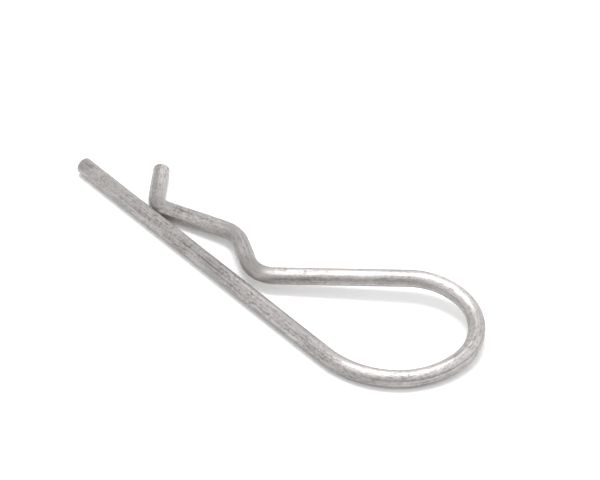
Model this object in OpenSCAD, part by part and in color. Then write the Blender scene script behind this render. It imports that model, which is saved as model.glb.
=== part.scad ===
// Hairpin-style axle pin bent from one length of round spring wire.
// The straight leg goes through the cross hole of an axle; the waved leg
// snaps round the outside of the axle and the bow springs the two together.
// The wire is built as it is bent: straight runs and round bends, each in its
// own plane, in order from the cut end of the straight leg.
// +X runs along the straight leg towards the bow, +Y towards the waved leg,
// +Z up. The pin lies at rest on the plane z = 0.

/* [Wire] */
// Diameter of the round wire
wire_d = 2.4; // [1.8:0.1:3]
// Size of the small bevel round each cut end
end_bevel = 0.28; // [0.1:0.02:0.5]

/* [Straight leg] */
// Length of the straight leg, from its cut end to the start of the bow
leg_length = 50; // [46:0.5:70]

/* [Bow] */
// Radius of the first arc of the bow, to the middle of the wire
bow_entry_radius = 13.5; // [12:0.1:15]
// Angle turned by the first arc, which lies flat
bow_entry_angle = 46; // [42:0.5:50]
// Radius of the second arc
bow_front_radius = 12.5; // [11:0.1:14]
// Angle turned by the second arc
bow_front_angle = 41.7; // [38:0.1:45]
// Radius of the tight arc at the end of the bow
bow_end_radius = 7.1; // [6:0.1:8.2]
// Angle turned by the tight arc
bow_end_angle = 91.5; // [88:0.1:95]
// Radius of the last arc, which runs out into the waved leg
bow_exit_radius = 10.8; // [9.5:0.1:12]
// Angle turned by the last arc
bow_exit_angle = 43.9; // [40:0.1:48]
// Tilt out of the flat that starts with the second arc
bow_front_lift = 6.8; // [4:0.1:9]
// Further tilt that the tight arc adds
bow_end_lift = 1.5; // [0:0.1:3]
// Tilt that the last arc takes back
bow_exit_settle = 6.5; // [4:0.1:9]

/* [Waved leg] */
// Gap between the straight leg and the bend that first comes near it
kink_gap = 1; // [0.3:0.05:1.6]
// Radius of that bend
kink_radius = 4.2; // [3.4:0.1:5]
// Angle turned by that bend
kink_angle = 69.3; // [66:0.1:76]
// Straight length between that bend and the crest
rise_length = 3.8; // [3:0.1:5]
// Radius of the crest
crest_radius = 4.5; // [3.8:0.1:5.4]
// Angle turned at the crest
crest_angle = 46.1; // [43:0.1:51]
// Gap between the straight leg and the last bend, which comes down to it
toe_gap = 0.05; // [0.05:0.05:0.8]
// Radius of the last bend
toe_radius = 2.4; // [1.8:0.1:3.6]
// Angle turned by the last bend
toe_angle = 67.4; // [62:0.1:80]
// Straight length of the flared end
toe_length = 6; // [4:0.1:8]

/* [Hidden] */
$fn = 48;

wire_r = wire_d / 2;

// Every second run of the wire is this much thinner in radius and laps this
// far into its neighbours, so that they all join as one solid.
slim = 0.005;
lap = 0.05;

// A place on the wire is [point, direction, left-hand normal].
function spin(v, axis, a) =
    v * cos(a) + cross(axis, v) * sin(a) + axis * (axis * v) * (1 - cos(a));
function side(s, twist) = spin(s[2], s[1], twist);

// A straight run is ["feed", length]; a bend is ["bend", radius, angle, twist].
// A positive angle turns left, and the twist rolls the bend's plane first.
function along(s, n, radius, a) =
    s[0] + radius * (s[1] * sin(abs(a)) + sign(a) * n * (1 - cos(a)));
function after(s, step) =
    step[0] == "feed" ? [s[0] + s[1] * step[1], s[1], s[2]]
    : let (n = side(s, step[3]), up = cross(s[1], n))
      [along(s, n, step[1], step[2]), spin(s[1], up, step[2]), spin(n, up, step[2])];
function walk(s, steps, i = 0) =
    i == len(steps) ? s : walk(after(s, steps[i]), steps, i + 1);

// How near a right-hand bend from s comes to the middle of the straight leg,
// negative if it has crossed over.
function nearest(s, radius, a, twist) =
    let (n = side(s, twist),
         p = along(s, n, radius, -min(a, max(0, atan2(-s[1][1], -n[1])))))
    sign(p[1]) * norm([p[1], p[2] - wire_r]);

// Length of the run that brings the next bend to the straight leg.
function run_to_leg(s, radius, a, twist, gap, lo, hi, i = 30) =
    let (mid = (lo + hi) / 2)
    i == 0 ? mid
    : nearest(after(s, ["feed", mid]), radius, a, twist) > wire_d + gap
        ? run_to_leg(s, radius, a, twist, gap, mid, hi, i - 1)
        : run_to_leg(s, radius, a, twist, gap, lo, mid, i - 1);

start = [[0, 0, wire_r], [1, 0, 0], [0, 1, 0]];
bow = [["feed", leg_length],
       ["bend", bow_entry_radius, bow_entry_angle, 0],
       ["bend", bow_front_radius, bow_front_angle, bow_front_lift],
       ["bend", bow_end_radius, bow_end_angle, bow_end_lift],
       ["bend", bow_exit_radius, bow_exit_angle, -bow_exit_settle]];
bow_out = walk(start, bow);

// The twist at which a right-hand bend from s comes out level.
function level(s, a) =
    let (up = cross(s[1], s[2]), h = norm([s[2][2], up[2]]))
    atan2(up[2], s[2][2]) - acos(max(-1, min(1, s[1][2] / tan(a) / h)));

// The waved leg, rolled about the run out of the bow. Its flared end is level.
function wave(roll) =
    let (in = run_to_leg(bow_out, kink_radius, kink_angle, roll, kink_gap, 0, leg_length),
         rise = [["feed", in], ["bend", kink_radius, -kink_angle, roll],
                 ["feed", rise_length], ["bend", crest_radius, crest_angle, 0]],
         top = walk(bow_out, rise),
         even = level(top, toe_angle),
         fall = run_to_leg(top, toe_radius, toe_angle, even, toe_gap, 0, leg_length))
    concat(rise, [["feed", fall], ["bend", toe_radius, -toe_angle, even],
                  ["feed", toe_length]]);

// The roll at which the flared end lies on the plane z = 0, sought in this range.
roll_range = [-20, 60];
function roll_down(lo, hi, i = 24) =
    let (mid = (lo + hi) / 2)
    i == 0 ? mid
    : walk(bow_out, wave(mid))[0][2] > wire_r ? roll_down(mid, hi, i - 1)
                                              : roll_down(lo, mid, i - 1);

steps = concat(bow, wave(roll_down(roll_range[0], roll_range[1])));
places = [for (i = 0, s = start; i < len(steps); s = after(s, steps[i]), i = i + 1) s];

// Points and directions close together along the wire, for its overall box.
trace = [for (i = [0 : len(steps) - 1])
    for (k = [0 : 40])
        let (b = steps[i], part = b[0] == "feed" ? ["feed", b[1] * k / 40]
                                                 : ["bend", b[1], b[2] * k / 40, b[3]])
        after(places[i], part)];
function reach(axis, way) =
    max([for (q = trace) way * q[0][axis] + wire_r * sqrt(max(0, 1 - pow(q[1][axis], 2)))]);
middle = [for (axis = [0, 1]) (reach(axis, 1) - reach(axis, -1)) / 2];

// Puts its child at a place on the wire, with X along the wire and Y to the left.
module at(s, twist) {
    n = side(s, twist);
    up = cross(s[1], n);
    multmatrix([[s[1][0], n[0], up[0], s[0][0]],
                [s[1][1], n[1], up[1], s[0][1]],
                [s[1][2], n[2], up[2], s[0][2]],
                [0, 0, 0, 1]])
        children();
}

// A straight run between two places on X, with a bevel at an end that is cut.
module feed(r, from, to, bevel_start, bevel_end) {
    length = to - from;
    translate([from, 0, 0]) rotate([0, 90, 0]) {
        if (bevel_start > 0) cylinder(h = bevel_start, r1 = r - bevel_start, r2 = r);
        translate([0, 0, bevel_start])
            cylinder(h = length - bevel_start - bevel_end, r = r);
        if (bevel_end > 0)
            translate([0, 0, length - bevel_end])
                cylinder(h = bevel_end, r1 = r, r2 = r - bevel_end);
    }
}

// A bend to the left, or to the right where the angle is negative.
module bend(r, radius, angle, past) {
    extra = atan(past / radius);
    mirror([0, angle < 0 ? 1 : 0, 0])
        translate([0, radius, 0]) rotate(-90 - extra)
            rotate_extrude(angle = abs(angle) + 2 * extra)
                translate([radius, 0]) circle(r = r);
}

module wire() {
    last = len(steps) - 1;
    color([0.62, 0.60, 0.58])
        translate([-middle[0], -middle[1], 0])
            for (i = [0 : last]) {
                step = steps[i];
                r = wire_r - (i % 2) * slim;
                past = (i % 2) * lap;
                if (step[0] == "feed")
                    at(places[i], 0)
                        feed(r, -past, step[1] + (i < last ? past : 0),
                             i == 0 ? end_bevel : 0, i == last ? end_bevel : 0);
                else
                    at(places[i], step[3]) bend(r, step[1], step[2], past);
            }
}

wire();
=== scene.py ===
import bpy
import math
from mathutils import Matrix, Quaternion, Vector


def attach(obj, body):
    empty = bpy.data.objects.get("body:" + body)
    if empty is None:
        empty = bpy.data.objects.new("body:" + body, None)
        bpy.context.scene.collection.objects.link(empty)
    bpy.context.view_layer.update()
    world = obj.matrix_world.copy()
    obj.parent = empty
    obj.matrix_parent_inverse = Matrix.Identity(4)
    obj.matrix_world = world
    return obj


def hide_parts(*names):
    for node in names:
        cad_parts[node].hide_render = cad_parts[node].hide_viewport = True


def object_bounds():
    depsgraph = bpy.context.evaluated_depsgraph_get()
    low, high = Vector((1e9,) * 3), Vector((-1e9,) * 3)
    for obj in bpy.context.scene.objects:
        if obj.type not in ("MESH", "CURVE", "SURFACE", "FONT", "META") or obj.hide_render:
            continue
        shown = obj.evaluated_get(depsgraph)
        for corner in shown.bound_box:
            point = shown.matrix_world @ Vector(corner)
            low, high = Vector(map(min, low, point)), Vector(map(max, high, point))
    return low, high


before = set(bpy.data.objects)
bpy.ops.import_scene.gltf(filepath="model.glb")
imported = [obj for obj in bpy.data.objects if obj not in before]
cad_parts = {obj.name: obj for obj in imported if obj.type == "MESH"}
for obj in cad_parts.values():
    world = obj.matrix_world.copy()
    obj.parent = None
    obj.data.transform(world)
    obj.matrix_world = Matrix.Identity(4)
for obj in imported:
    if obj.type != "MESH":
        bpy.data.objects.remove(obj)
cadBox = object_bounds()
mm = 0.001

# The camera comes first, because the lights are placed round it.

shot = {
    "azimuth": 46.802,              # degrees round the pin, 0 looks along +Y
    "elevation": 46.0,              # degrees above the floor
    "distance": 487.68,             # mm
    "target": (-1.119, 3.252, 0.0),  # mm, the point on the floor it looks at
    "lens": 210.0,
    "sensor": 36.0,
    "clip": (0.02, 20.0),           # metres
}


def turned(x, y, z):
    # x to the right of the view, y away from it along the floor, z up
    return Matrix.Rotation(math.radians(shot["azimuth"]), 3, "Z") @ Vector((x, y, z))


def makeCamera():
    data = bpy.data.cameras.new("camera")
    data.lens = shot["lens"]
    data.sensor_width = shot["sensor"]
    data.clip_start, data.clip_end = shot["clip"]
    camera = bpy.data.objects.new("camera", data)
    bpy.context.scene.collection.objects.link(camera)
    rise = math.radians(shot["elevation"])
    back = turned(0.0, -math.cos(rise), math.sin(rise))
    camera.location = Vector(shot["target"]) * mm + back * shot["distance"] * mm
    camera.rotation_euler = (-back).to_track_quat("-Z", "Y").to_euler()
    bpy.context.scene.camera = camera
    print("camera placed", [round(v, 4) for v in camera.location])


makeCamera()


def addNode(tree, kind, inputs=None, **settings):
    node = tree.nodes.new(kind)
    for key, value in settings.items():
        setattr(node, key, value)
    for key, value in (inputs or {}).items():
        socket = node.inputs[key]
        if isinstance(value, bpy.types.NodeSocket):
            tree.links.new(value, socket)
        else:
            socket.default_value = value
    return node


def addMath(tree, operation, *values, clamp=False):
    inputs = dict(enumerate(values))
    node = addNode(tree, "ShaderNodeMath", inputs, operation=operation, use_clamp=clamp)
    return node.outputs[0]


wire = {                            # lengths in mm, angles in degrees
    "radius": 1.2,
    "leg": 50.0,
    "bow": [                        # radius, angle, twist of each arc
        (13.5, 46.0, 0.0),
        (12.5, 41.7, 6.8),
        (7.1, 91.5, 1.5),
        (10.8, 43.9, -6.5),
    ],
    "kink": (4.2, 69.3),            # radius, angle
    "kinkGap": 1.0,                 # between the kink and the straight leg
    "rise": 3.8,
    "crest": (4.5, 46.1),
    "toeBend": (2.4, 67.4),
    "toeGap": 0.05,                 # between the toe bend and the straight leg
    "toe": 6.0,
    "rollRange": (-20.0, 60.0),     # where the roll of the waved leg is sought
    "ringStep": 0.22,               # along the wire
    "fewestRings": 6,               # on any one run
    "sides": 64,
    "legEdge": 0.26,                # rounding of the straight leg's cut end
    "legDome": 0.05,                # how far the middle of that end stands out
    "toeEdge": 0.42,                # the same two for the flared end
    "toeDome": 0.10,
    "edgeSteps": 6,                 # from the face of a cut end to the wire's side
    "faceRings": (0.3, 0.6, 0.85),  # shares of the face inside the rounding
    "edgeGap": 0.1,                 # least distance from a rounding to the next ring
    "flatten": 0.025,               # how much a tight bend narrows the wire in its own plane
    "tightRadius": 5.0,             # a bend this tight is flattened and scuffed in full
    "easyRadius": 7.0,              # and one this easy not at all
    "bendSpread": 1.2,              # how far the bender's marks reach past a bend
}

# the straight leg starts at the low corner of the frame's box
startPlace = (
    Vector((cadBox[0][0] / mm, cadBox[0][1] / mm + wire["radius"], wire["radius"])),
    Vector((1.0, 0.0, 0.0)),
    Vector((0.0, 1.0, 0.0)),
)


def along(place, run, part=1.0):
    # the place (point, direction, left-hand normal) at a share of a run
    point, ahead, left = place
    if run[0] == "feed":
        return point + ahead * run[1] * part, ahead.copy(), left.copy()
    radius, angle, twist = run[1:]
    left = Quaternion(ahead, math.radians(twist)) @ left
    centre = point + left * math.copysign(radius, angle)
    turn = Quaternion(ahead.cross(left), math.radians(angle) * part)
    return centre + turn @ (point - centre), turn @ ahead, turn @ left


def follow(place, runs):
    for run in runs:
        place = along(place, run)
    return place


def halved(tooLow, low, high, rounds=30):
    # the value between low and high at which tooLow stops being true
    for _ in range(rounds):
        middle = (low + high) / 2
        low, high = (middle, high) if tooLow(middle) else (low, middle)
    return (low + high) / 2


def runToLeg(place, radius, angle, twist, gap):
    # how far the wire runs before the next bend comes to its gap from the straight leg
    legY = startPlace[0].y

    def farOff(length):
        start = along(place, ("feed", length))
        left = Quaternion(start[1], math.radians(twist)) @ start[2]
        lowest = min(angle, max(0.0, math.degrees(math.atan2(-start[1].y, -left.y))))
        near = along(start, ("bend", radius, -lowest, twist))[0]
        aside = near.y - legY
        reach = math.copysign(math.hypot(aside, near.z - wire["radius"]), aside)
        return reach > 2 * wire["radius"] + gap

    return halved(farOff, 0.0, wire["leg"])


def levelTwist(place, angle):
    # the twist at which a right-hand bend comes out level
    ahead, left = place[1:]
    up = ahead.cross(left)
    tilt = ahead.z / math.tan(math.radians(angle)) / math.hypot(left.z, up.z)
    return math.degrees(math.atan2(up.z, left.z) - math.acos(max(-1.0, min(1.0, tilt))))


def waveRuns(bowOut, roll):
    # the waved leg, rolled about the run out of the bow
    kinkRadius, kinkAngle = wire["kink"]
    toeRadius, toeAngle = wire["toeBend"]
    runs = [
        ("feed", runToLeg(bowOut, kinkRadius, kinkAngle, roll, wire["kinkGap"])),
        ("bend", kinkRadius, -kinkAngle, roll),
        ("feed", wire["rise"]),
        ("bend", *wire["crest"], 0.0),
    ]
    top = follow(bowOut, runs)
    twist = levelTwist(top, toeAngle)
    fall = runToLeg(top, toeRadius, toeAngle, twist, wire["toeGap"])
    return runs + [("feed", fall), ("bend", toeRadius, -toeAngle, twist), ("feed", wire["toe"])]


def wireRuns():
    # every run of the wire, the waved leg rolled until its flared end lies on the floor
    bow = [("feed", wire["leg"])] + [("bend", *arc) for arc in wire["bow"]]
    bowOut = follow(startPlace, bow)

    def endHigh(roll):
        return follow(bowOut, waveRuns(bowOut, roll))[0].z > wire["radius"]

    return bow + waveRuns(bowOut, halved(endHigh, *wire["rollRange"]))


def tightness(radius):
    # 1 for a bend that is flattened and scuffed in full, 0 for an easy one
    share = (wire["easyRadius"] - radius) / (wire["easyRadius"] - wire["tightRadius"])
    return min(1.0, max(0.0, share))


def walkWire():
    # places along the wire: point, direction, left-hand normal, distance, tightness
    place, gone = startPlace, 0.0
    places = [(*place, gone, 0.0)]
    for run in wireRuns():
        isBend = run[0] == "bend"
        length = run[1] * math.radians(abs(run[2])) if isBend else run[1]
        tight = tightness(run[1]) if isBend else 0.0
        count = max(wire["fewestRings"], round(length / wire["ringStep"]))
        for i in range(1, count + 1):
            places.append((*along(place, run, i / count), gone + length * i / count, tight))
        place = along(place, run)
        gone += length
    return places


def softened(places):
    # the tightness, spread a little way past the bends
    reach = round(wire["bendSpread"] / wire["ringStep"])
    tight = [p[4] for p in places]
    spread = []
    for i in range(len(tight)):
        part = tight[max(0, i - reach):i + reach + 1]
        spread.append(sum(part) / len(part))
    return spread


def carriedNormals(places):
    # one normal carried along with no twist, so that the die lines run true
    normal, found = places[0][2].copy(), []
    for i, place in enumerate(places):
        if i:
            turn = places[i - 1][1].rotation_difference(place[1])
            normal = turn @ normal
        normal = (normal - place[1] * normal.dot(place[1])).normalized()
        found.append(normal.copy())
    return found


def endRings(edge, dome):
    # (share of the radius, how far in from the very end) of a rounded cut end
    radius, steps = wire["radius"], wire["edgeSteps"]
    rings = []
    for i in range(steps + 1):
        a = math.radians(90.0 * i / steps)
        share = (radius - edge + edge * math.sin(a)) / radius
        rings.append((share, dome + edge * (1 - math.cos(a))))
    face = rings[0][0]
    return [(share * face, dome * share * share) for share in wire["faceRings"]] + rings


def wireRings(places):
    # rings from end to end: point, direction, normal, share of the radius,
    # distance, tightness, normal in the plane of the bend
    normals = carriedNormals(places)
    total = places[-1][3]
    startRings = endRings(wire["legEdge"], wire["legDome"])
    stopRings = endRings(wire["toeEdge"], wire["toeDome"])
    firstPlain = startRings[-1][1] + wire["edgeGap"]
    lastPlain = total - stopRings[-1][1] - wire["edgeGap"]
    point, ahead, left = places[0][:3]
    rings = [(point + ahead * depth, ahead, normals[0], share, depth, 0.0, left)
             for share, depth in startRings]
    for place, normal, near in zip(places, normals, softened(places)):
        point, ahead, left, gone = place[:4]
        if firstPlain < gone < lastPlain:
            rings.append((point, ahead, normal, 1.0, gone, near, left))
    point, ahead, left = places[-1][:3]
    for share, depth in reversed(stopRings):
        rings.append((point - ahead * depth, ahead, normals[-1], share, total - depth, 0.0, left))
    return rings


def addPointData(mesh, name, kind, values):
    data = mesh.attributes.new(name, kind, "POINT").data
    if kind == "FLOAT":
        data.foreach_set("value", values)
    else:
        data.foreach_set("vector", [part for value in values for part in value])


def makeWire():
    places = walkWire()
    rings = wireRings(places)
    sides, radius, total = wire["sides"], wire["radius"], places[-1][3]

    verts, space, bent, around = [], [], [], []
    for point, ahead, normal, share, gone, near, inPlane in rings:
        other = ahead.cross(normal)
        for k in range(sides):
            a = 2 * math.pi * k / sides
            out = normal * math.cos(a) + other * math.sin(a)
            squeeze = 1.0 - wire["flatten"] * near * out.dot(inPlane) ** 2
            verts.append((point + out * radius * share * squeeze) * mm)
            space.append((math.cos(a) * radius * share, math.sin(a) * radius * share, gone))
            bent.append(near)
            around.append(ahead.cross(out))

    faces = []
    for i in range(len(rings) - 1):
        here, there = sides * i, sides * (i + 1)
        for k in range(sides):
            after = (k + 1) % sides
            faces.append([here + k, there + k, there + after, here + after])

    # a fan round the middle of each cut end
    lastBase = sides * (len(rings) - 1)
    caps = [(places[0][0], rings[0][2], 0.0, 0), (places[-1][0], rings[-1][2], total, lastBase)]
    for point, normal, gone, base in caps:
        tip = len(verts)
        verts.append(point * mm)
        space.append((0.0, 0.0, gone))
        bent.append(0.0)
        around.append(normal)
        for k in range(sides):
            pair = (base + k, base + (k + 1) % sides)
            faces.append([tip, *(reversed(pair) if base else pair)])

    mesh = bpy.data.meshes.new("wireSkin")
    mesh.from_pydata(verts, [], faces)
    addPointData(mesh, "wireSpace", "FLOAT_VECTOR", space)
    addPointData(mesh, "around", "FLOAT_VECTOR", around)
    addPointData(mesh, "bent", "FLOAT", bent)
    mesh.polygons.foreach_set("use_smooth", [True] * len(mesh.polygons))
    mesh.update()
    mesh.validate()
    skin = bpy.data.objects.new("wireSkin", mesh)
    bpy.context.scene.collection.objects.link(skin)
    print("wire made:", len(rings), "rings,", round(total, 1), "mm long")
    return skin


steel = {
    "light": (0.735, 0.700, 0.689),
    "dark": (0.230, 0.219, 0.214),
    "roughness": 0.31,
    "roughSpread": 0.10,            # how much rougher the dark marks are than the clean steel
    "acrossSpread": 0.9,            # the die lines spread a highlight round the wire
    "dieLines": 1.3,                # strength of each mark in the colour
    "flecks": 1.5,
    "smudges": 0.7,
    "bendCalm": 0.6,                # how far the marks fade where the wire was bent
    "bendRough": 0.04,              # and how much duller it is there
    "dieLineBump": 0.25,
    "fleckBump": 0.12,
    "bumpDepth": 0.00004,           # metres
    # each noise: marks per mm across the wire and along it, detail, seed
    "dieLineNoise": (3.6, 0.06, 3.0, 0.0),
    "fleckNoise": (4.6, 2.0, 2.0, 7.0),
    "smudgeNoise": (0.6, 0.25, 2.0, 3.0),
    "clusterNoise": (0.5, 0.2, 1.0, 5.0),
    "noiseRoughness": 0.6,
    "fleckLimit": 0.56,             # cuts off the light flecks, so that dark ones are left
    "clustering": 2.5,              # how strongly the flecks gather in clusters
}


def makeSteel():
    material = bpy.data.materials.new("drawnSteel")
    material.use_nodes = True
    tree = material.node_tree
    tree.nodes.clear()
    space = addNode(tree, "ShaderNodeAttribute", attribute_name="wireSpace").outputs["Vector"]
    around = addNode(tree, "ShaderNodeAttribute", attribute_name="around").outputs["Vector"]
    bent = addNode(tree, "ShaderNodeAttribute", attribute_name="bent").outputs["Fac"]

    def streaks(across, lengthwise, detail, seed):
        # noise drawn out along the wire
        place = addNode(tree, "ShaderNodeMapping", {
            "Vector": space, "Scale": (across, across, lengthwise),
            "Location": (seed, seed, seed)})
        noise = addNode(tree, "ShaderNodeTexNoise", {
            "Vector": place.outputs[0], "Scale": 1.0, "Detail": detail,
            "Roughness": steel["noiseRoughness"]})
        return noise.outputs["Fac"]

    def centred(value, strength):
        return addMath(tree, "MULTIPLY", addMath(tree, "SUBTRACT", value, 0.5), strength)

    dieLines = streaks(*steel["dieLineNoise"])
    flecks = addMath(tree, "MINIMUM", streaks(*steel["fleckNoise"]), steel["fleckLimit"])
    smudges = streaks(*steel["smudgeNoise"])
    clusters = centred(streaks(*steel["clusterNoise"]), steel["clustering"])
    clusters = addMath(tree, "ADD", clusters, 1.0)
    calm = addMath(tree, "SUBTRACT", 1.0, addMath(tree, "MULTIPLY", bent, steel["bendCalm"]))
    fine = addMath(tree, "ADD", centred(dieLines, steel["dieLines"]),
                   addMath(tree, "MULTIPLY", centred(flecks, steel["flecks"]), clusters))
    clean = addMath(tree, "ADD", addMath(tree, "MULTIPLY", fine, calm),
                    centred(smudges, steel["smudges"]))
    clean = addMath(tree, "ADD", clean, 0.5, clamp=True)
    darkIn, lightIn, colourOut = 6, 7, 2    # the mix node's colour sockets
    colour = addNode(tree, "ShaderNodeMix", {
        "Factor": clean, darkIn: (*steel["dark"], 1.0), lightIn: (*steel["light"], 1.0)},
        data_type="RGBA")
    rough = addNode(tree, "ShaderNodeMapRange", {
        "Value": clean, "To Min": steel["roughness"] + steel["roughSpread"],
        "To Max": steel["roughness"]})
    rough = addMath(tree, "ADD", rough.outputs[0],
                    addMath(tree, "MULTIPLY", bent, steel["bendRough"]))
    bump = addNode(tree, "ShaderNodeBump", {
        "Height": dieLines, "Strength": steel["dieLineBump"], "Distance": steel["bumpDepth"]})
    bump = addNode(tree, "ShaderNodeBump", {
        "Height": flecks, "Strength": steel["fleckBump"], "Distance": steel["bumpDepth"],
        "Normal": bump.outputs[0]})
    shader = addNode(tree, "ShaderNodeBsdfPrincipled", {
        "Base Color": colour.outputs[colourOut], "Metallic": 1.0, "Roughness": rough,
        "Anisotropic": steel["acrossSpread"], "Tangent": around, "Normal": bump.outputs[0]})
    addNode(tree, "ShaderNodeOutputMaterial", {"Surface": shader.outputs[0]})
    return material


skin = makeWire()
skin.data.materials.append(makeSteel())
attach(skin, "root")
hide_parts("wire")
print("steel put on the wire")

studio = {
    "floorSize": 3.0,               # metres
    "floorColour": 0.88,
    "floorSeen": 1.16,              # the floor's colour to the camera
    "keySize": (0.34, 0.15),        # metres, across the view and along it
    "keyFrom": (-0.03, 0.18, 1.0),  # right of the view, behind, above
    "keyDistance": 0.6,
    "keyPower": 1.5,
    "skyBright": 0.98,
    "skyDark": 0.19,                # at the horizon behind the camera
    "skyEdges": (-0.98, -0.6),      # where the sky turns from dark to bright, front to back
    "skyRight": 0.18,               # how much brighter it is on the right
}


def makeFloor():
    half = studio["floorSize"] / 2
    corners = [(-half, -half, 0), (half, -half, 0), (half, half, 0), (-half, half, 0)]
    mesh = bpy.data.meshes.new("floor")
    mesh.from_pydata(corners, [], [(0, 1, 2, 3)])
    floor = bpy.data.objects.new("floor", mesh)
    bpy.context.scene.collection.objects.link(floor)
    material = bpy.data.materials.new("whiteTable")
    material.use_nodes = True
    tree = material.node_tree
    tree.nodes.clear()
    seen = addNode(tree, "ShaderNodeLightPath").outputs["Is Camera Ray"]
    shade = addNode(tree, "ShaderNodeMapRange", {
        "Value": seen, "To Min": studio["floorColour"], "To Max": studio["floorSeen"]})
    matt = addNode(tree, "ShaderNodeBsdfDiffuse", {"Color": shade.outputs[0]})
    addNode(tree, "ShaderNodeOutputMaterial", {"Surface": matt.outputs[0]})
    mesh.materials.append(material)


def makeLights():
    data = bpy.data.lights.new("key", "AREA")
    data.shape = "ELLIPSE"
    data.size, data.size_y = studio["keySize"]
    data.energy = studio["keyPower"]
    key = bpy.data.objects.new("key", data)
    bpy.context.scene.collection.objects.link(key)
    toward = turned(*studio["keyFrom"]).normalized()
    key.location = toward * studio["keyDistance"]
    side = turned(1.0, 0.0, 0.0)
    side = (side - toward * side.dot(toward)).normalized()
    key.rotation_euler = Matrix((side, toward.cross(side), toward)).transposed().to_euler()


def makeWorld():
    world = bpy.data.worlds.new("studio")
    world.use_nodes = True
    bpy.context.scene.world = world
    tree = world.node_tree
    tree.nodes.clear()
    place = addNode(tree, "ShaderNodeTexCoord").outputs["Generated"]

    def reach(x, y, z):
        # how far each part of the sky lies in a direction, from -1 to 1
        node = addNode(tree, "ShaderNodeVectorMath", {0: place, 1: turned(x, y, z)},
                       operation="DOT_PRODUCT")
        return node.outputs["Value"]

    front, back = studio["skyEdges"]
    share = addNode(tree, "ShaderNodeMapRange", {
        "Value": reach(0.0, 1.0, 0.0), "From Min": front, "From Max": back},
        interpolation_type="SMOOTHSTEP")
    level = addNode(tree, "ShaderNodeMapRange", {
        "Value": share.outputs[0], "To Min": studio["skyDark"], "To Max": studio["skyBright"]})
    rightward = addMath(tree, "MULTIPLY", reach(1.0, 0.0, 0.0), studio["skyRight"])
    level = addMath(tree, "ADD", level.outputs[0], rightward)
    seen = addNode(tree, "ShaderNodeLightPath").outputs["Is Camera Ray"]
    level = addMath(tree, "MAXIMUM", level, seen)
    sky = addNode(tree, "ShaderNodeBackground", {"Color": (1.0, 1.0, 1.0, 1.0), "Strength": level})
    addNode(tree, "ShaderNodeOutputWorld", {"Surface": sky.outputs[0]})


makeFloor()
makeLights()
makeWorld()
bpy.context.scene.view_settings.view_transform = "Standard"
print("floor, lights and world made")
